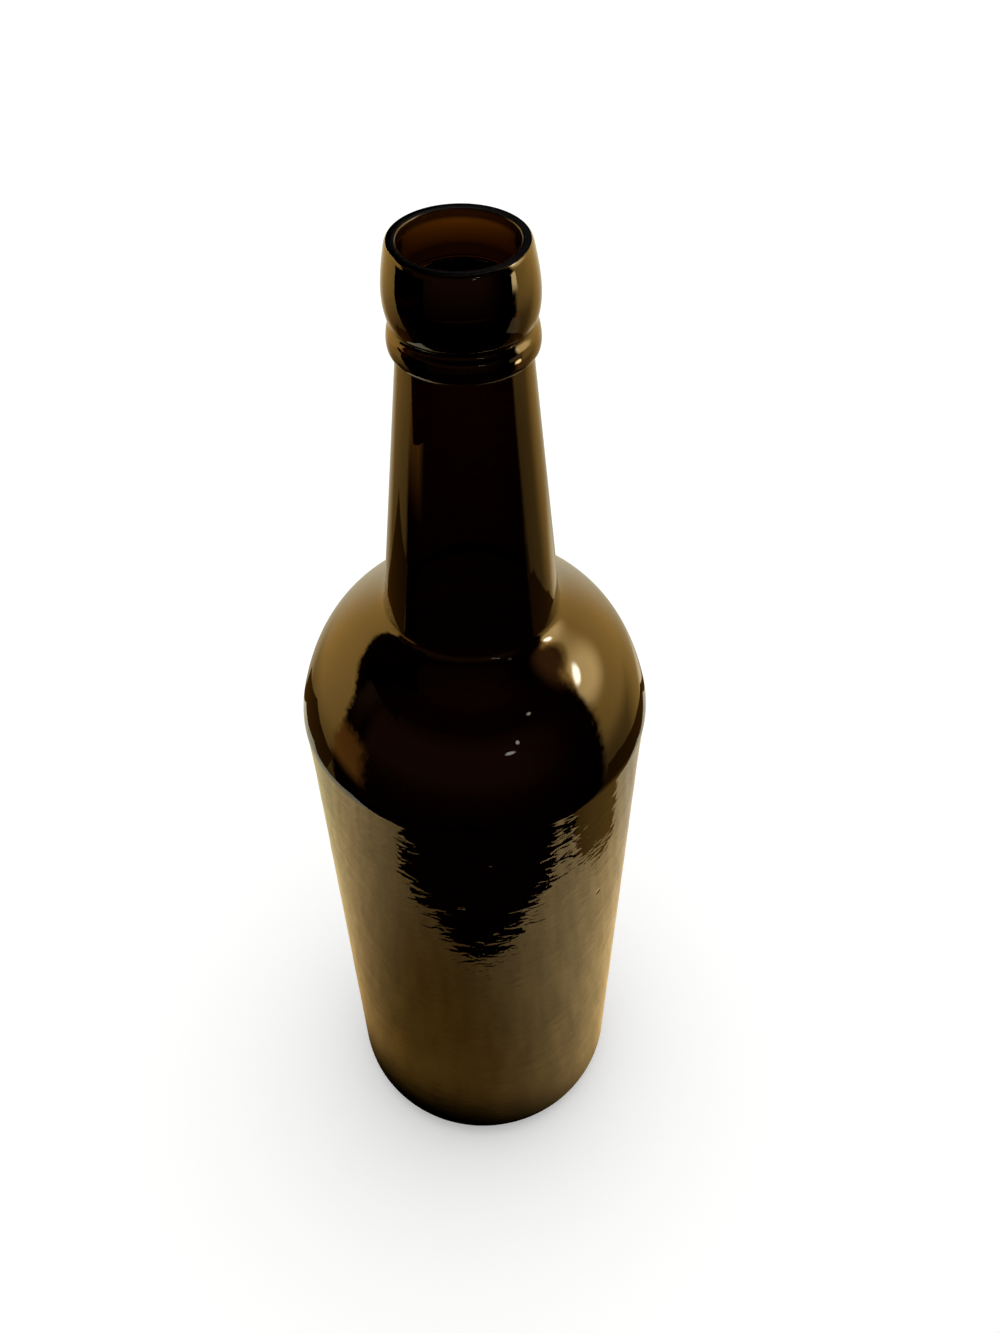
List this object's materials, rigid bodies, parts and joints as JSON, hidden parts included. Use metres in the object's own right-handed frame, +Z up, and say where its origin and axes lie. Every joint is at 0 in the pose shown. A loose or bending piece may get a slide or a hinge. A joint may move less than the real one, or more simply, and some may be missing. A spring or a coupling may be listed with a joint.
{
  "type": "liquor bottle",
  "caption": "Tall cylinder bottle of dark glass for spirits, with domed shoulder, tapered neck and a laid-on collar and lip.",
  "frame": {"origin": "on the bottle's axis, in the plane that the standing ring rests on", "axes": "+Z up the bottle's axis to the mouth; the lip's small drift off the axis is towards -X"},
  "size_m": [0.08, 0.08, 0.281],
  "materials": {
    "body_glass": "glossy dark olive-amber glass, faintly rippled on the side",
    "finish_glass": "glossy dark olive-amber glass, fire-polished"
  },
  "bodies": {
    "root": {"blown_body": "body_glass", "applied_finish": "finish_glass"}
  },
  "joints": []
}
